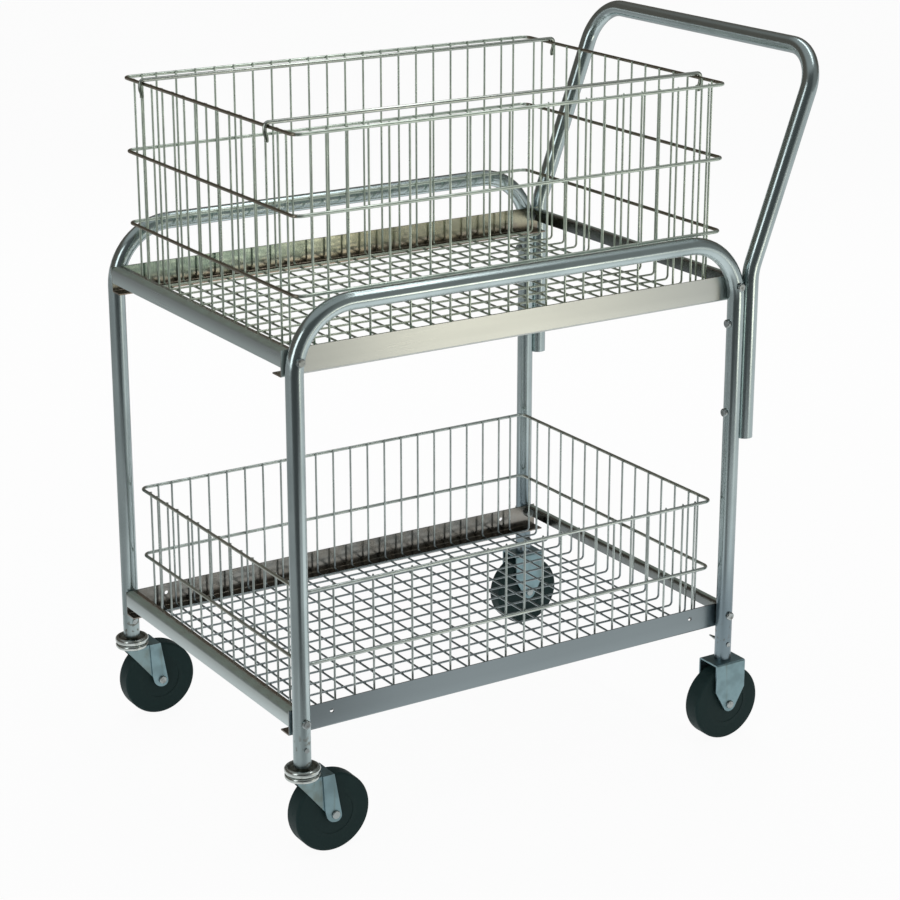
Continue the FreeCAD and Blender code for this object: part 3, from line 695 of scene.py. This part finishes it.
sleeve_finish, place = start_finish("grey_nylon_sleeve")
moulded = clouds(place, 0.002, detail=2.0)
colour = tint(between(clouds(place, 0.012), 0.35, 0.7), (0.30, 0.31, 0.31), (0.24, 0.25, 0.25))
dress(sleeve_finish, place, colour, 0.48 + moulded * 0.14, moulded, 0.00005)
cover(sleeve_finish, "stem_sleeves")

# Wheels: solid black rubber tyres moulded on black plastic cores. Tyres and cores are scuffed and dusty,
# and a faint ring shows where the rubber meets the dished core.

dull_black = 0.12
tyre_finish, place = start_finish("black_rubber_tyre")
dusty = between(clouds(place, 0.015), 0.48, 0.75)
skin = clouds(place, 0.0014, detail=4.0)
colour = tint(dusty, (0.0125, 0.0295, 0.0290), (0.0185, 0.037, 0.036))
roughness = 0.52 + dusty * 0.22 + skin * 0.08
dress(tyre_finish, place, colour, roughness, skin + dusty * 0.5, 0.00012, specular_ior_level=dull_black)
cover(tyre_finish, *(f"{corner}_tyre" for corner in corners))

core_finish, place = start_finish("black_plastic_core")
dusty = between(clouds(place, 0.012), 0.50, 0.76)
grain = clouds(place, 0.0010, detail=2.0)
colour = tint(dusty, (0.0125, 0.0290, 0.0285), (0.0185, 0.037, 0.036))
roughness = 0.46 + dusty * 0.2 + grain * 0.08
dress(core_finish, place, colour, roughness, grain, 0.00006, specular_ior_level=dull_black)
cover(core_finish, *(f"{corner}_wheel_core" for corner in corners))

# Studio: a large pale floor under a white backdrop, and soft boxes. Dark cloths on the floor and a dome
# all round that glows with painted reflections, which the camera doesn't see, draw the dark bands in the
# bright tubes.


def set_up(name, shape, material):
    """Makes a piece of the studio."""
    mesh = bpy.data.meshes.new(name)
    shape.to_mesh(mesh)
    shape.free()
    mesh.materials.append(material)
    piece = bpy.data.objects.new(name, mesh)
    bpy.context.collection.objects.link(piece)
    return piece


def only_mirrored(piece):
    """Leaves a piece of the studio to be seen in bright metal alone."""
    piece.visible_camera = False
    piece.visible_diffuse = False
    piece.visible_shadow = False


def looked_at(start):
    """1 for what the camera sees straight or in a mirror or through glass, 0 for lighting."""
    seen = start.node("ShaderNodeLightPath", {}, {}, "Is Camera Ray")
    seen = seen + start.node("ShaderNodeLightPath", {}, {}, "Is Glossy Ray")
    return seen + start.node("ShaderNodeLightPath", {}, {}, "Is Transmission Ray")


floor_radius = 14.0
floor_finish, place = start_finish("pale_studio_floor")
tree = place.tree
tree.nodes.remove(tree.nodes["Principled BSDF"])
seen = looked_at(place)
lit = place.node("ShaderNodeBsdfDiffuse", {}, {"Color": (0.90, 0.90, 0.90, 1.0)})
white = place.node("ShaderNodeEmission", {}, {"Color": (1.0, 1.0, 1.0, 1.0), "Strength": 1.0})
mixed = place.node("ShaderNodeMixShader", {}, {0: seen * 0.94, 1: lit, 2: white})
tree.links.new(mixed.socket, tree.nodes["Material Output"].inputs["Surface"])
shape = bmesh.new()
bmesh.ops.create_circle(shape, cap_ends=True, radius=floor_radius, segments=96)
floor = set_up("studio_floor", shape, floor_finish)

cloth_reach = 13.0
cloth_height = 0.004
cloth_finish, place = start_finish("grey_studio_cloth")
surface = place.tree.nodes["Principled BSDF"]
weave = clouds(place, 0.004)
right_of, behind = part_of(place, "X"), part_of(place, "Y")
near_reach = between(right_of, -0.95, -0.72) * 0.18 - behind - between(right_of, -0.2, 0.4) * 0.75
near_middle = between(behind, -2.1, -1.7) * (1.0 - between(behind, -1.05, -0.85))
near_middle = near_middle * between(right_of, -0.65, -0.25)
near_right = between(right_of, 0.45, 1.05)
cover_sides = (
    between(near_reach, 0.5, 1.1) * (1.0 - near_right * 0.65) * (1.0 - near_middle * 0.45),
    between(0.0 - right_of, 0.45, 0.80) * between(behind, 0.0, 0.3) * 0.6,
    between(0.0 - right_of, 0.50, 1.00) * 0.7,
    between(right_of, 0.62, 1.30) * 0.3,
    between(behind, 0.40, 1.00) * 0.6,
)
colour = tint(weave, (0.03, 0.035, 0.036), (0.06, 0.065, 0.066))
dress(cloth_finish, place, colour, 0.9 + weave * 0.05, weave, 0.0005)
covered = cover_sides[0]
for side in cover_sides[1:]:
    covered = covered.maths("MAXIMUM", covered, side)
place.tree.links.new((covered * 0.97).socket, surface.inputs["Alpha"])
shape = bmesh.new()
bmesh.ops.create_grid(shape, x_segments=2, y_segments=2, size=1.0)
bmesh.ops.scale(shape, vec=(cloth_reach, cloth_reach, 1.0), verts=shape.verts)
bmesh.ops.translate(shape, vec=(0.0, 0.0, cloth_height), verts=shape.verts)
cloth = set_up("dark_floor_cloth", shape, cloth_finish)
only_mirrored(cloth)

mirrored_glow_radius = 40.0
# Painted reflections: the dome glows dark on the camera's side, grey overhead and pale low on the far side.
mirrored_glow_finish, place = start_finish("painted_reflection_glow")
tree = place.tree
tree.nodes.remove(tree.nodes["Principled BSDF"])
heading = place.node("ShaderNodeVectorMath", {"operation": "NORMALIZE"}, {0: place})
lifted = part_of(heading, "Z")
overhead = (0.38, 0.39, 0.39)
far_side = tint(between(lifted, -0.01, 0.05), (0.96, 0.965, 0.97), (0.13, 0.115, 0.10))
far_side = tint(between(lifted, 0.58, 0.80), far_side, overhead)
near_side = tint(between(part_of(heading, "X"), -0.1, 0.4), (0.09, 0.095, 0.095), (0.25, 0.255, 0.25))
near_side = tint(between(lifted, 0.70, 0.84), near_side, overhead)
colour = tint(between(part_of(heading, "Y"), -0.45, -0.05), near_side, far_side)
glow = place.node("ShaderNodeEmission", {}, {"Color": colour, "Strength": 1.0})
tree.links.new(glow.socket, tree.nodes["Material Output"].inputs["Surface"])
shape = bmesh.new()
bmesh.ops.create_uvsphere(shape, u_segments=64, v_segments=32, radius=mirrored_glow_radius)
mirrored_glow_dome = set_up("painted_reflection_sphere", shape, mirrored_glow_finish)
only_mirrored(mirrored_glow_dome)

world = bpy.data.worlds.new("white_backdrop")
bpy.context.scene.world = world
world.use_nodes = True
tree = world.node_tree
colour = tint(looked_at(Shade(tree, None)), (0.55, 0.555, 0.56), (0.965, 0.965, 0.965))
tree.links.new(colour.socket, tree.nodes["Background"].inputs["Color"])
tree.nodes["Background"].inputs["Strength"].default_value = 1.0


def soft_box(name, place, aim, width, depth, power, colour, mirrored=True):
    """A flat lamp turned to what it lights; mirrored ones also show in bright metal."""
    lamp = bpy.data.lights.new(name, "AREA")
    lamp.shape = "RECTANGLE"
    lamp.size = width
    lamp.size_y = depth
    lamp.energy = power
    lamp.color = colour
    holder = bpy.data.objects.new(name, lamp)
    holder.location = place
    holder.rotation_euler = (Vector(aim) - Vector(place)).to_track_quat("-Z", "Y").to_euler()
    holder.visible_glossy = mirrored
    bpy.context.collection.objects.link(holder)


soft_box("overhead_soft_box", (1.2, -0.1, 3.3), (0.9, -0.1, 0.0), 3.0, 0.4, 12.0, (1.0, 1.0, 1.0))
soft_box("left_soft_box", (-3.0, -0.9, 1.6), (0.0, -0.1, 0.8), 1.0, 2.4, 16.0, (0.97, 0.99, 1.0))
soft_box("back_soft_box", (1.8, 2.9, 2.3), (0.0, 0.0, 0.5), 1.6, 1.2, 26.0, (1.0, 1.0, 1.0), False)
soft_box("warm_low_box", (1.22, -2.35, 0.22), (0.1, -0.3, 0.55), 0.65, 0.42, 2.4, (1.0, 0.89, 0.70))

# Camera: a long lens held above the cart's top, in front of its left side, and turned down to the
# middle of the cart.

lens = bpy.data.cameras.new("photo_camera")
lens.sensor_width = 36.0
lens.lens = 98.3
lens.clip_end = 60.0
camera = bpy.data.objects.new("photo_camera", lens)
camera.location = (-1.8624, -3.0301, 1.6424)
turn = math.radians(32.22)
drop = math.radians(18.43)
aim = Vector((math.sin(turn) * math.cos(drop), math.cos(turn) * math.cos(drop), -math.sin(drop)))
camera.rotation_euler = aim.to_track_quat("-Z", "Y").to_euler()
bpy.context.collection.objects.link(camera)
bpy.context.scene.camera = camera
bpy.context.scene.view_settings.view_transform = "Standard"
